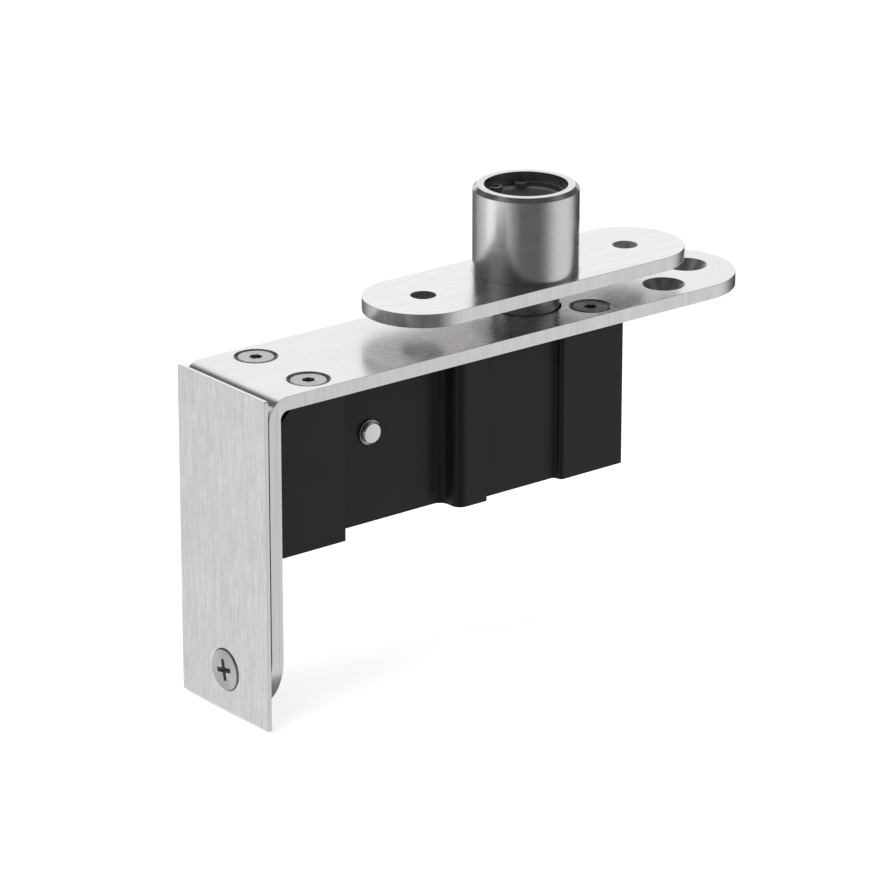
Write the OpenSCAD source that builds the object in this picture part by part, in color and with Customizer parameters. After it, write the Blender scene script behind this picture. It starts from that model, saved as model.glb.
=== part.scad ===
// Door top pivot with a retractable pin.
// Origin: the pivot axis, at the top face of the frame plate. +Z is up, along the pin.
// +X runs along the door, from the cover plate towards the arm's round end.

/* [Door bracket] */
// Width of the bent strip, across the door's thickness
bracket_w = 30; // [29.5:0.5:36]
// Thickness of the strip
strip_t = 3; // [2.6:0.1:4]
// Inner radius of the bend
bend_in_r = 1.8; // [1:0.1:4]
// From the pivot axis to the leg's outer face
axis_to_leg = 79; // [78:0.5:90]
// From the pivot axis to the centre of the arm's round end
axis_to_arm_end = 39.7; // [38:0.1:60]
// From the top of the arm to the centre of the leg's round end
leg_drop = 56.5; // [54:0.5:70]
// Diameter of the circle that the three screw holes at the arm's end lie on
end_circle_d = 17; // [16:0.1:18]
// From the pivot axis to the centre of that circle
axis_to_end_circle = 36.7; // [34:0.1:37]
// Diameter of the wood screw holes
wood_hole_d = 5; // [4:0.1:5.5]
// Distance between the two wood screw holes in the leg
leg_hole_span = 15; // [12:0.5:16]
// From the top of the arm to the wood screw holes in the leg
leg_hole_drop = 47; // [44:0.5:50]

/* [Cover] */
// How far the cover plate reaches below the leg
cover_past = 0.5; // [0:0.1:2]
// Thickness of the cover plate
cover_t = 0.9; // [0.7:0.1:1.5]
// Gap between the cover plate and the leg
cover_gap = 0.2; // [0.1:0.1:0.6]
// From the cover's lower edge up to its screw
cover_screw_up = 9; // [8:0.5:14]
// Thread diameter of the cover screw
cover_screw_d = 5; // [4:0.5:5]
// Diameter of the cover screw's head
cover_head_d = 8.8; // [8.6:0.1:9.4]
// Length of the cover screw
cover_screw_l = 5; // [4.5:0.5:6]
// Span of the cross recess in the cover screw
recess_span = 4.5; // [4:0.1:5]
// Width of the recess's arms
recess_arm_w = 0.95; // [0.8:0.05:1.2]
// Depth of the recess
recess_depth = 1.6; // [1.2:0.1:1.8]
// How far the recess stands turned, anticlockwise as it is seen
recess_turn = 12; // [0:1:89]

/* [Frame half] */
// Gap between the frame plate and the arm
head_gap = 5; // [3:0.5:7]
// Metal left in the frame plate on each side of the tube's foot
plate_web = 1.05; // [0.8:0.05:3]
// Length of the frame plate
plate_l = 81.2; // [78:0.1:95]
// Thickness of the frame plate
plate_t = 3; // [2.5:0.1:4]
// Distance between the frame plate's screw holes
plate_hole_span = 55.3; // [52:0.1:62]
// Diameter of the frame plate's screw holes
plate_hole_d = 5.4; // [4:0.1:6]
// Wall of the tube
tube_wall = 2.45; // [2:0.05:2.8]
// Height of the tube above the frame plate
tube_h = 19; // [18:0.5:24]
// Wall of the bush that lines the tube
bush_wall = 1.6; // [1.3:0.1:1.9]
// Chamfer round the tube's mouth
tube_edge = 0.9; // [0.3:0.1:1.2]
// How much wider the tube's foot is, on each side, where it is pressed into the frame plate
foot_step = 0.25; // [0.2:0.05:0.4]
// Thickness of the lip that the bush stands on
tube_lip_t = 1; // [0.6:0.1:1.5]
// From the tube's mouth down to the top of the circlip
clip_depth = 1.9; // [1.5:0.1:2.5]
// Thickness of the circlip
clip_t = 1; // [0.8:0.1:1.2]
// Depth of the circlip's groove
groove_depth = 0.5; // [0.4:0.05:0.7]
// Radial width of the circlip
clip_w = 1.35; // [1.2:0.05:1.8]
// Diameter of the circlip's lugs
lug_d = 3; // [2.6:0.1:3.4]
// Diameter of the holes in the lugs
lug_hole_d = 1.6; // [1.2:0.1:1.8]
// Angle between the lugs
clip_opening = 47; // [30:1:60]
// Direction of the circlip's opening, from +X
clip_turn = 82; // [0:1:359]

/* [Pivot pin] */
// Diameter of the pin
pin_d = 14.5; // [14:0.1:14.8]
// From the frame plate's top face up to the top of the raised pin
pin_reach = 12; // [9:0.5:12.5]
// Chamfer at the top of the pin
pin_edge = 1; // [0.3:0.1:1.5]
// From the arm's underside down to the cross pin, pin raised
cross_drop = 4; // [3.8:0.1:5]
// From the cross pin to the pin's foot, and up to the root of its fork
prong_l = 5.7; // [5.6:0.1:6.5]
// Diameter of the cross pin
cross_pin_d = 4; // [3:0.1:4]

/* [Lever] */
// From the pivot axis to the lever's axle
axis_to_axle = 49; // [47:0.5:51]
// From the arm's underside down to the axle
axle_drop = 12; // [11:0.1:13]
// Diameter of the axle
axle_d = 5; // [4:0.1:5.4]
// How far the axle stands out of the housing's waist
axle_proud = 1.35; // [0.5:0.05:2.5]
// Chamfer on the axle's ends
axle_edge = 0.5; // [0.2:0.05:0.6]
// How much longer the lever is than the way from its axle to the pin
lever_lead = 0.8; // [0.6:0.1:1]
// Thickness of the lever's long arm
lever_t = 5; // [4:0.1:5.2]
// Diameter of the lever's hub
hub_d = 10; // [9.6:0.1:11]
// Outer diameter of the bush in the hub
lever_bush_d = 7; // [6.6:0.1:7.4]
// Diameter of the lever's eye
eye_d = 7; // [6.4:0.1:7.2]
// Thickness of each of the lever's cheeks
cheek_t = 2; // [1.6:0.1:2.1]
// Thickness of the washers beside the hub
side_washer_t = 0.5; // [0.3:0.1:0.6]

/* [Adjusting screw] */
// From the axle down to the adjusting screw
nut_drop = 11.9; // [11:0.1:12.5]
// Thread diameter of the adjusting screw
screw_d = 5; // [4:0.1:5]
// How far the adjusting screw reaches past the nut
screw_past = 2.2; // [1:0.1:3]
// Diameter of the adjusting screw's head
screw_head_d = 8.5; // [8:0.1:9]
// Height of the adjusting screw's head
screw_head_h = 5; // [4:0.1:5.5]
// Size of the hexagon socket in that head
screw_hex = 4; // [3:0.5:4]
// Diameter of the key hole in the leg
key_hole_d = 5.5; // [5:0.1:6.5]
// Thickness of the thrust washer
thrust_washer_t = 0.5; // [0.4:0.1:0.8]
// Length of the nut along the screw
nut_l = 7; // [6:0.1:7.5]
// Width of the nut between the lever's cheeks
nut_w = 8; // [7.8:0.1:8.2]
// Height of the nut
nut_h = 7; // [6.8:0.1:8]
// Diameter of the nut's studs
stud_d = 3; // [2.5:0.1:3.4]

/* [Housing] */
// Width of the housing's proud sections
housing_w = 29; // [28:0.1:29.4]
// From the pivot axis to the housing's far end
axis_to_housing_end = 15; // [14:0.1:17]
// How far the housing's corner stays clear of the inside of the bend
bend_room = 1.2; // [0.2:0.1:2]
// Thickness of the housing's floor
floor_t = 2; // [1.5:0.1:4]
// Length of the proud section next to the leg
shoulder_l = 16.6; // [16:0.1:17]
// Width of the waist that the axle stands out of
waist_w = 17.8; // [17:0.1:20]
// From the pivot axis to the near side of the rib
axis_to_rib = 29.8; // [28:0.1:32]
// Length of the rib
rib_l = 7.7; // [6:0.1:10]
// Radius of the rib's S-shaped side
rib_r = 2.2; // [1:0.1:2.7]
// Width of the shallow waist beside the pin
shallow_w = 25; // [24:0.1:26]
// From the pivot axis back to the start of the end block
axis_to_block = 2; // [0:0.1:6]
// Radius of the end block's S-shaped side
block_r = 1; // [0.5:0.05:1]
// Wall of the sleeve that guides the pin
sleeve_wall = 2.2; // [1.5:0.1:2.4]

/* [Housing screws] */
// Thread diameter of the housing screws
m_screw_d = 4; // [3:0.5:4]
// Diameter of a housing screw's head
m_head_d = 7.5; // [7:0.1:8]
// Diameter of every countersink at the surface
sink_d = 9.2; // [9:0.1:9.6]
// Length of a housing screw
m_screw_l = 12; // [10:0.5:16]
// Size of the hexagon socket in a housing screw
m_hex = 2.5; // [2:0.1:2.5]
// Distance between the two screws of a pair
m_screw_span = 18; // [17.5:0.1:20]
// From the leg's outer face to the pair next to it
leg_to_front_screws = 14.5; // [13:0.1:15]
// From the pivot axis to the pair beside the pin
axis_to_rear_screws = 10.5; // [10.5:0.1:12]

/* [Hidden] */
$fn = 96;

// Clearances
run_gap = 0.05; // radial, a shaft in its bearing
side_gap = 0.1; // beside a hub or a washer
slot_gap = 0.15; // a pin or stud in a slot, each side
cheek_gap = 0.2; // between the nut and a cheek
lever_gap = 0.6; // beside the lever in its slot
hole_gap = 0.4; // radial, the pin in the arm's hole
end_gap = 0.3; // beyond a part that comes to rest
nut_room = 3.4; // beyond the nut at each end of its way
slot_wall = 1.6; // round the end of a slot
m_socket_depth = 1.6; // of a housing screw's hexagon socket
socket_depth = 2.5; // of the adjusting screw's hexagon socket
small_edge = 0.4; // on turned parts that don't show
overcut = 1; // how far a cutter runs past a face

// Heights
arm_top = -plate_t - head_gap;
arm_under = arm_top - strip_t;
axle_z = arm_under - axle_drop;
cross_z = arm_under - cross_drop;
travel = pin_reach - arm_top;
pin_foot = cross_z - prong_l;
fork_root = cross_z + prong_l;
screw_z = axle_z - nut_drop;

// Places along the door
leg_out = -axis_to_leg;
leg_in = leg_out + strip_t;
axle_x = -axis_to_axle;
rib_x = -axis_to_rib;
block_x = -axis_to_block;
waist_x = leg_in + shoulder_l;
cover_face = leg_out - cover_gap - cover_t;
leg_end_z = arm_top - leg_drop;
leg_hole_z = arm_top - leg_hole_drop;
cover_foot_z = leg_end_z - bracket_w / 2 - cover_past;
cover_screw_z = cover_foot_z + cover_screw_up;
front_screws_x = leg_out + leg_to_front_screws;

// Lever: its angles above the horizontal, pin raised and pin drawn in
lever_reach = axis_to_axle + lever_lead;
angle_up = asin((cross_z - axle_z) / lever_reach);
angle_down = asin((cross_z - travel - axle_z) / lever_reach);
angle_mid = (angle_up + angle_down) / 2;
half_swing = (angle_up - angle_down) / 2;
cross_x = axle_x + lever_reach * cos(angle_up);
cross_play = max(lever_lead, axis_to_axle - lever_reach * cos(max(angle_up, -angle_down)));
crank_l = nut_drop / cos(half_swing);
crank_tip_d = stud_d + 2 * (slot_gap + slot_wall);
nut_x = axle_x + nut_drop * tan(half_swing);
nut_travel = 2 * nut_drop * tan(half_swing);
hub_half = nut_w / 2 + cheek_gap + cheek_t;

// Floor of the housing: below the drawn-in pin and the lever's cheeks
floor_z = min(pin_foot - travel, axle_z - crank_l - crank_tip_d / 2) - end_gap;
housing_z = floor_z - floor_t;

// Housing: the well for the hub and the nut, and the slot for the lever
well_half = hub_half + side_washer_t + 2 * side_gap;
well_x0 = nut_x - nut_travel - nut_l / 2 - nut_room;
well_x1 = nut_x + nut_l / 2 + nut_room;
slot_half = lever_t / 2 + lever_gap;
sleeve_r = pin_d / 2 + run_gap + sleeve_wall;

// Adjusting screw: its seat in the housing and its head
washer_seat = leg_in + screw_head_h + thrust_washer_t + side_gap;
screw_seat = washer_seat - thrust_washer_t;
screw_l = nut_x + nut_l / 2 + screw_past - screw_seat;

// Frame half
tube_bore_r = pin_d / 2 + run_gap + bush_wall;
tube_r = tube_bore_r + tube_wall;
foot_r = tube_r + foot_step;
plate_w = 2 * (foot_r + plate_web);
groove_top = tube_h - clip_depth + run_gap;
groove_foot = groove_top - clip_t - 2 * run_gap;
groove_r = tube_bore_r + groove_depth;
lip_r = pin_d / 2 + hole_gap + 0.25;
bush_foot = -plate_t + tube_lip_t;
plate_end_x = (plate_l - plate_w) / 2;

// A bar of two round ends and the straight sides that touch both, along +X from the first end's centre.
module tapered_bar(d1, d2, l) {
    a = asin((d1 - d2) / 2 / l);
    p1 = d1 / 2 * [sin(a), cos(a)];
    p2 = [l, 0] + d2 / 2 * [sin(a), cos(a)];
    circle(d = d1);
    translate([l, 0]) circle(d = d2);
    polygon([p1, p2, [p2[0], -p2[1]], [p1[0], -p1[1]]]);
}

// What stays in a square corner when a round of radius r is taken off. It lies in the first quadrant.
module corner_web(r) {
    difference() {
        square(r);
        translate([r, r]) circle(r = r);
    }
}

// A cutter for a countersunk hole that opens upwards at z = 0.
module sunk_cutter(hole_d, depth) {
    cone_h = (sink_d - hole_d) / 2;
    translate([0, 0, -cone_h]) cylinder(h = cone_h, d1 = hole_d, d2 = sink_d);
    translate([0, 0, -depth - overcut]) cylinder(h = depth + overcut, d = hole_d);
    cylinder(h = overcut, d = sink_d);
}

// A plain ring, standing on z = 0.
module ring(d_out, d_in, h) {
    difference() {
        cylinder(h = h, d = d_out);
        translate([0, 0, -overcut]) cylinder(h = h + 2 * overcut, d = d_in);
    }
}

// A round bar along +Y, centred on the origin.
module cross_bar(d, l) {
    rotate([90, 0, 0]) cylinder(h = l, d = d, center = true);
}

// The places of the three wood screw holes at the arm's end.
function end_hole(i) = [
    axis_to_end_circle + end_circle_d / 2 * cos(i * 120),
    end_circle_d / 2 * sin(i * 120)
];

// The places of the four housing screws.
function housing_screw_at(i) = [
    i < 2 ? front_screws_x : axis_to_rear_screws,
    (i % 2 == 0 ? 1 : -1) * m_screw_span / 2
];

module bracket_strip() {
    // The arm and its round end
    translate([leg_in + bend_in_r, -bracket_w / 2, arm_under])
        cube([axis_to_arm_end - leg_in - bend_in_r, bracket_w, strip_t]);
    translate([axis_to_arm_end, 0, arm_under]) cylinder(h = strip_t, d = bracket_w);
    // The leg and its round end
    translate([leg_out, -bracket_w / 2, leg_end_z])
        cube([strip_t, bracket_w, arm_under - bend_in_r - leg_end_z]);
    translate([leg_out, 0, leg_end_z]) rotate([0, 90, 0]) cylinder(h = strip_t, d = bracket_w);
    // The bend
    translate([leg_in + bend_in_r, 0, arm_under - bend_in_r]) rotate([90, 0, 0])
        linear_extrude(height = bracket_w, center = true) bend_section();
}

// A quarter ring in the second quadrant.
module bend_section() {
    out_r = bend_in_r + strip_t;
    difference() {
        intersection() {
            circle(r = out_r);
            translate([-out_r, 0]) square(out_r);
        }
        circle(r = bend_in_r);
    }
}

module door_bracket() {
    color([0.78, 0.78, 0.77]) difference() {
        bracket_strip();
        // The pin's hole
        translate([0, 0, arm_under - overcut])
            cylinder(h = strip_t + 2 * overcut, d = pin_d + 2 * hole_gap);
        // The housing screws' holes
        for (i = [0:3])
            translate(concat(housing_screw_at(i), arm_top)) sunk_cutter(m_screw_d + 0.4, strip_t);
        // The wood screws' holes in the arm
        for (i = [0:2])
            translate(concat(end_hole(i), arm_top)) sunk_cutter(wood_hole_d, strip_t);
        // The wood screws' holes in the leg
        for (side = [-1, 1])
            translate([leg_out, side * leg_hole_span / 2, leg_hole_z]) rotate([0, -90, 0])
                sunk_cutter(wood_hole_d, strip_t);
        // The key hole in front of the adjusting screw
        translate([leg_out - overcut, 0, screw_z]) rotate([0, 90, 0])
            cylinder(h = strip_t + 2 * overcut, d = key_hole_d);
        cover_screw_cutter();
    }
}

// The countersink and the thread's hole of the cover screw, through cover and leg.
module cover_screw_cutter() {
    rim_d = cover_head_d + 0.5;
    cone_h = (rim_d - cover_screw_d) / 2;
    translate([cover_face, 0, cover_screw_z]) rotate([0, 90, 0]) {
        translate([0, 0, -overcut]) cylinder(h = overcut, d = rim_d);
        cylinder(h = cone_h, d1 = rim_d, d2 = cover_screw_d);
        cylinder(h = cover_t + cover_gap + strip_t + overcut, d = cover_screw_d);
    }
}

module cover_plate() {
    color([0.82, 0.82, 0.81]) difference() {
        translate([cover_face, -bracket_w / 2, cover_foot_z])
            cube([cover_t, bracket_w, arm_top - cover_foot_z]);
        cover_screw_cutter();
    }
}

module cover_screw() {
    land = 0.25;
    dome_h = 0.35;
    head_r = cover_head_d / 2;
    thread_r = cover_screw_d / 2;
    dome_r = (head_r * head_r + dome_h * dome_h) / (2 * dome_h);
    dome_a = asin(head_r / dome_r);
    dome = [for (i = [0:6]) [dome_r * sin(dome_a * i / 6), dome_r * cos(dome_a * i / 6) - dome_r + dome_h]];
    color([0.72, 0.72, 0.72]) translate([cover_face, 0, cover_screw_z]) rotate([0, -90, 0])
        difference() {
            rotate_extrude() polygon(concat(dome, [
                [head_r, -land],
                [thread_r, -land - head_r + thread_r],
                [thread_r, -cover_screw_l],
                [0, -cover_screw_l]
            ]));
            rotate(recess_turn) cross_recess(recess_span, recess_arm_w, recess_depth);
        }
}

// A cross recess of the given span, arm width and depth, opening upwards at z = 0.
module cross_recess(span, arm_w, depth) {
    translate([-span / 2, -arm_w / 2, -depth]) cube([span, arm_w, depth + overcut]);
    translate([-arm_w / 2, -span / 2, -depth]) cube([arm_w, span, depth + overcut]);
    translate([0, 0, -depth]) cylinder(h = depth + overcut, d = 2 * arm_w);
}

// The housing's outline from above. Each proud section ends in a step, the rib and the end block
// start with an S.
module housing_outline() {
    end_x = axis_to_housing_end;
    translate([leg_in, -housing_w / 2]) square([shoulder_l, housing_w]);
    translate([leg_in, -waist_w / 2]) square([end_x - leg_in, waist_w]);
    translate([rib_x, 0]) s_block(rib_l, housing_w, waist_w, rib_r);
    translate([rib_x + rib_l / 2, -shallow_w / 2]) square([end_x - rib_x - rib_l / 2, shallow_w]);
    translate([block_x, 0]) s_block(end_x - block_x, housing_w, shallow_w, block_r);
}

// A block of length l and width w, starting at x = 0, whose near corners are round and which meets the
// narrower section before it in fillets of the same radius.
module s_block(l, w, before_w, wanted_r) {
    r = min(wanted_r, (w - before_w) / 4);
    difference() {
        translate([0, -w / 2]) square([l, w]);
        for (side = [-1, 1]) scale([1, side]) translate([0, w / 2]) mirror([0, 1]) corner_web(r);
    }
    for (side = [-1, 1]) scale([1, side]) translate([0, before_w / 2]) mirror([1, 0]) corner_web(r);
}

module housing() {
    corner_side = sqrt(2) * (bend_in_r + bend_room);
    color([0.13, 0.13, 0.13]) difference() {
        translate([0, 0, housing_z]) linear_extrude(height = arm_under - housing_z) housing_outline();
        // The corner under the bend
        translate([leg_in, 0, arm_under]) rotate([0, 45, 0])
            cube([corner_side, bracket_w + 2 * overcut, corner_side], center = true);
        // The well, the lever's slot and the sleeve's bore
        translate([well_x0, -well_half, floor_z])
            cube([well_x1 - well_x0, 2 * well_half, arm_under - floor_z + overcut]);
        translate([axle_x, -slot_half, floor_z])
            cube([-axle_x, 2 * slot_half, arm_under - floor_z + overcut]);
        translate([0, 0, floor_z]) cylinder(h = arm_under - floor_z + overcut, r = sleeve_r);
        // The axle's holes
        translate([axle_x, 0, axle_z]) cross_bar(axle_d, bracket_w);
        // The adjusting screw's seat and its way through
        translate([leg_in - overcut, 0, screw_z]) rotate([0, 90, 0])
            cylinder(h = washer_seat - leg_in + overcut, d = screw_head_d + 4 * side_gap);
        translate([leg_in, 0, screw_z]) rotate([0, 90, 0])
            cylinder(h = well_x0 - leg_in + overcut, d = screw_d + 2 * side_gap);
        // The housing screws' holes
        for (i = [0:3])
            translate(concat(housing_screw_at(i), arm_top - m_screw_l - end_gap))
                cylinder(h = m_screw_l, d = m_screw_d);
    }
}

module housing_screw() {
    rim_r = sink_d / 2;
    head_r = m_head_d / 2;
    thread_r = m_screw_d / 2;
    difference() {
        rotate_extrude() polygon([
            [0, 0],
            [head_r, 0],
            [head_r, head_r - rim_r],
            [thread_r, thread_r - rim_r],
            [thread_r, -m_screw_l],
            [0, -m_screw_l]
        ]);
        translate([0, 0, -m_socket_depth])
            cylinder(h = m_socket_depth + overcut, d = m_hex / cos(30), $fn = 6);
    }
}

module housing_screws() {
    color([0.62, 0.62, 0.62])
        for (i = [0:3]) translate(concat(housing_screw_at(i), arm_top)) housing_screw();
}

module guide_sleeve() {
    bore_d = pin_d + 2 * run_gap;
    color([0.55, 0.55, 0.56]) translate([0, 0, floor_z]) difference() {
        ring(2 * sleeve_r, bore_d, arm_under - floor_z);
        translate([-sleeve_r - overcut, -slot_half, -overcut])
            cube([sleeve_r + overcut, 2 * slot_half, arm_under - floor_z + 2 * overcut]);
    }
}

module lever_axle() {
    half = waist_w / 2 + axle_proud;
    r = axle_d / 2;
    color([0.75, 0.75, 0.76]) translate([axle_x, 0, axle_z]) rotate([90, 0, 0])
        rotate_extrude() polygon([
            [0, -half],
            [r - axle_edge, -half],
            [r, axle_edge - half],
            [r, half - axle_edge],
            [r - axle_edge, half],
            [0, half]
        ]);
}

module lever_washers() {
    color([0.6, 0.6, 0.6]) translate([axle_x, 0, axle_z])
        for (side = [-1, 1])
            rotate([side * 90, 0, 0]) translate([0, 0, hub_half + side_gap])
                ring(hub_d - 1, axle_d + 4 * run_gap, side_washer_t);
}

module thrust_washer() {
    color([0.6, 0.6, 0.6]) translate([screw_seat, 0, screw_z]) rotate([0, 90, 0])
        ring(screw_head_d, screw_d + 2 * side_gap, thrust_washer_t);
}

module adjusting_screw() {
    head_r = screw_head_d / 2;
    shank_r = screw_d / 2;
    color([0.5, 0.5, 0.5]) translate([screw_seat, 0, screw_z]) rotate([0, 90, 0])
        difference() {
            rotate_extrude() polygon([
                [0, -screw_head_h],
                [head_r - small_edge, -screw_head_h],
                [head_r, small_edge - screw_head_h],
                [head_r, 0],
                [shank_r, 0],
                [shank_r, screw_l - small_edge],
                [shank_r - small_edge, screw_l],
                [0, screw_l]
            ]);
            translate([0, 0, -screw_head_h - overcut])
                cylinder(h = socket_depth + overcut, d = screw_hex / cos(30), $fn = 6);
        }
}

module adjuster_nut() {
    color([0.78, 0.66, 0.35]) translate([nut_x, 0, screw_z]) difference() {
        cube([nut_l, nut_w, nut_h], center = true);
        rotate([0, 90, 0]) cylinder(h = nut_l + 2 * overcut, d = screw_d + 2 * run_gap, center = true);
        for (side = [-1, 1])
            translate([0, side * (nut_w / 2 + overcut / 2), 0]) cross_bar(stud_d, stud_seat() * 2 + overcut);
    }
}

// How deep a stud sits in the nut: most of the wall beside the thread.
function stud_seat() = 0.8 * (nut_w - screw_d) / 2 - run_gap;

module nut_trunnions() {
    l = stud_seat() + cheek_gap + cheek_t;
    color([0.6, 0.6, 0.62]) translate([nut_x, 0, screw_z])
        for (side = [-1, 1])
            translate([0, side * (nut_w / 2 - stud_seat() + l / 2), 0]) cross_bar(stud_d, l);
}

module rocker_lever() {
    bar_l = 2 * hub_half;
    color([0.42, 0.42, 0.44]) translate([axle_x, 0, axle_z]) rotate([0, -angle_up, 0]) difference() {
        union() {
            cross_bar(hub_d, bar_l);
            rotate([90, 0, 0]) linear_extrude(height = lever_t, center = true)
                tapered_bar(hub_d, eye_d, lever_reach);
            for (side = [-1, 1])
                translate([0, side * (hub_half - cheek_t / 2), 0]) rotate([90, 0, 0])
                    linear_extrude(height = cheek_t, center = true)
                    rotate(-90 - angle_mid) tapered_bar(hub_d, crank_tip_d, crank_l);
        }
        cross_bar(lever_bush_d, bar_l + 2 * overcut);
        translate([lever_reach, 0, 0]) cross_bar(cross_pin_d, bar_l);
        // The slots that the nut's studs run in
        rotate([90, 0, 0]) linear_extrude(height = bar_l + 2 * overcut, center = true)
            rotate(-90 - angle_mid) stud_slot();
    }
}

// A slot with round ends along +X, for a stud that comes nearer and moves off as the lever rocks.
module stud_slot() {
    w = stud_d + 2 * slot_gap;
    near = nut_drop - slot_gap;
    far = crank_l + slot_gap;
    translate([near, 0]) circle(d = w);
    translate([far, 0]) circle(d = w);
    translate([near, -w / 2]) square([far - near, w]);
}

module lever_bush() {
    color([0.72, 0.55, 0.3]) translate([axle_x, 0, axle_z]) rotate([90, 0, 0])
        translate([0, 0, -hub_half]) ring(lever_bush_d, axle_d + 2 * run_gap, 2 * hub_half);
}

module lever_pin() {
    color([0.7, 0.7, 0.72]) translate([cross_x, 0, cross_z]) cross_bar(cross_pin_d, pin_d - 2);
}

module pivot_pin() {
    r = pin_d / 2;
    slot_r = cross_pin_d / 2 + slot_gap;
    slot_x = cross_play + slot_gap;
    color([0.5, 0.5, 0.5]) difference() {
        rotate_extrude() polygon([
            [0, pin_foot],
            [r - small_edge, pin_foot],
            [r, pin_foot + small_edge],
            [r, pin_reach - pin_edge],
            [r - pin_edge, pin_reach],
            [0, pin_reach]
        ]);
        // The fork that the lever's end works in
        translate([-pin_d, -lever_t / 2 - slot_gap, pin_foot - overcut])
            cube([2 * pin_d, lever_t + 2 * slot_gap, fork_root - pin_foot + overcut]);
        // The slots for the cross pin, through both prongs
        for (x = [-slot_x, slot_x]) translate([x, 0, cross_z]) cross_bar(2 * slot_r, pin_d + 2 * overcut);
        translate([-slot_x, -pin_d, cross_z - slot_r]) cube([2 * slot_x, 2 * pin_d, 2 * slot_r]);
    }
}

module frame_plate() {
    color([0.8, 0.8, 0.79]) translate([0, 0, -plate_t]) difference() {
        union() {
            translate([-plate_end_x, -plate_w / 2, 0]) cube([2 * plate_end_x, plate_w, plate_t]);
            for (side = [-1, 1]) translate([side * plate_end_x, 0, 0]) cylinder(h = plate_t, d = plate_w);
        }
        translate([0, 0, -overcut]) cylinder(h = plate_t + 2 * overcut, r = foot_r);
        // Screw holes, countersunk from below
        for (side = [-1, 1])
            translate([side * plate_hole_span / 2, 0, 0]) rotate([180, 0, 0])
                sunk_cutter(plate_hole_d, plate_t);
    }
}

module pivot_tube() {
    color([0.62, 0.62, 0.62]) rotate_extrude() polygon([
        [lip_r, -plate_t],
        [foot_r, -plate_t],
        [foot_r, 0],
        [tube_r, 0],
        [tube_r, tube_h - tube_edge],
        [tube_r - tube_edge, tube_h],
        [tube_bore_r, tube_h],
        [tube_bore_r, groove_top],
        [groove_r, groove_top],
        [groove_r, groove_foot],
        [tube_bore_r, groove_foot],
        [tube_bore_r, bush_foot],
        [lip_r, bush_foot]
    ]);
}

module pivot_bush() {
    in_r = pin_d / 2 + run_gap;
    edge = 0.3;
    color([0.45, 0.43, 0.4]) rotate_extrude() polygon([
        [in_r, bush_foot + edge],
        [in_r + edge, bush_foot],
        [tube_bore_r, bush_foot],
        [tube_bore_r, groove_foot],
        [in_r + edge, groove_foot],
        [in_r, groove_foot - edge]
    ]);
}

module tube_circlip() {
    out_r = groove_r - run_gap;
    lug_at = out_r - clip_w / 2 - lug_d / 4;
    half_open = clip_opening / 2;
    reach = 2 * out_r;
    color([0.55, 0.55, 0.55]) translate([0, 0, groove_foot + run_gap]) linear_extrude(height = clip_t)
        difference() {
            intersection() {
                circle(r = out_r);
                union() {
                    difference() {
                        circle(r = out_r);
                        circle(r = out_r - clip_w);
                        polygon([
                            [0, 0],
                            reach * [cos(clip_turn - half_open), sin(clip_turn - half_open)],
                            reach * [cos(clip_turn + half_open), sin(clip_turn + half_open)]
                        ]);
                    }
                    for (a = [clip_turn - half_open, clip_turn + half_open])
                        translate(lug_at * [cos(a), sin(a)]) circle(d = lug_d);
                }
            }
            for (a = [clip_turn - half_open, clip_turn + half_open])
                translate(lug_at * [cos(a), sin(a)]) circle(d = lug_hole_d);
        }
}

door_bracket();
cover_plate();
cover_screw();
housing();
housing_screws();
guide_sleeve();
lever_axle();
lever_washers();
thrust_washer();
adjusting_screw();
adjuster_nut();
nut_trunnions();
rocker_lever();
lever_bush();
lever_pin();
pivot_pin();
frame_plate();
pivot_tube();
pivot_bush();
tube_circlip();
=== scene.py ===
"""The looks of the door top pivot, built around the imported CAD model.

Lengths in the shape code are millimetres in the CAD model's frame. piece() turns them into metres.
"""

from math import atan2, cos, degrees, hypot, pi, radians, sin, sqrt, tan

import bmesh
import bpy
from mathutils import Matrix, Vector


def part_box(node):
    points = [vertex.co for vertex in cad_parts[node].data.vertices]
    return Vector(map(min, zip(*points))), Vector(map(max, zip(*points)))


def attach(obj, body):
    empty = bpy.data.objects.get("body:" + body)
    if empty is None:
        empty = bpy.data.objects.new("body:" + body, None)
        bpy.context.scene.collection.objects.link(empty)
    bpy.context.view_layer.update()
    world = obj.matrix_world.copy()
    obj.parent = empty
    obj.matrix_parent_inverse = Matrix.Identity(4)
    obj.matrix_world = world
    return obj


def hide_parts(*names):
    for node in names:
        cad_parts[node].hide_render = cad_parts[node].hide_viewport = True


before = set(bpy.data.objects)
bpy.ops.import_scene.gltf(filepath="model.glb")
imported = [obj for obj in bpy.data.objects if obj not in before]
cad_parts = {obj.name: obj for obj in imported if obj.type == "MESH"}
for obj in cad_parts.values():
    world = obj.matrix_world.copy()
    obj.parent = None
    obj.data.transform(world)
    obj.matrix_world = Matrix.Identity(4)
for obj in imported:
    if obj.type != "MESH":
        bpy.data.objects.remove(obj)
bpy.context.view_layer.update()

MM = 0.001

# The photograph's camera: it looks at TARGET from this side, height and distance
CAMERA_TARGET = Vector((-0.0227464, 0.0005342, -0.0334912))
CAMERA_AZIMUTH = radians(321.5532)
CAMERA_ELEVATION = radians(20.0925)
CAMERA_DISTANCE = 1.035
CAMERA_LENS = 200
CAMERA_SENSOR = 36


# Sizes taken from the frame

def box_mm(node):
    """A node's lowest and highest corner."""
    low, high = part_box(node)
    return low / MM, high / MM


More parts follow.
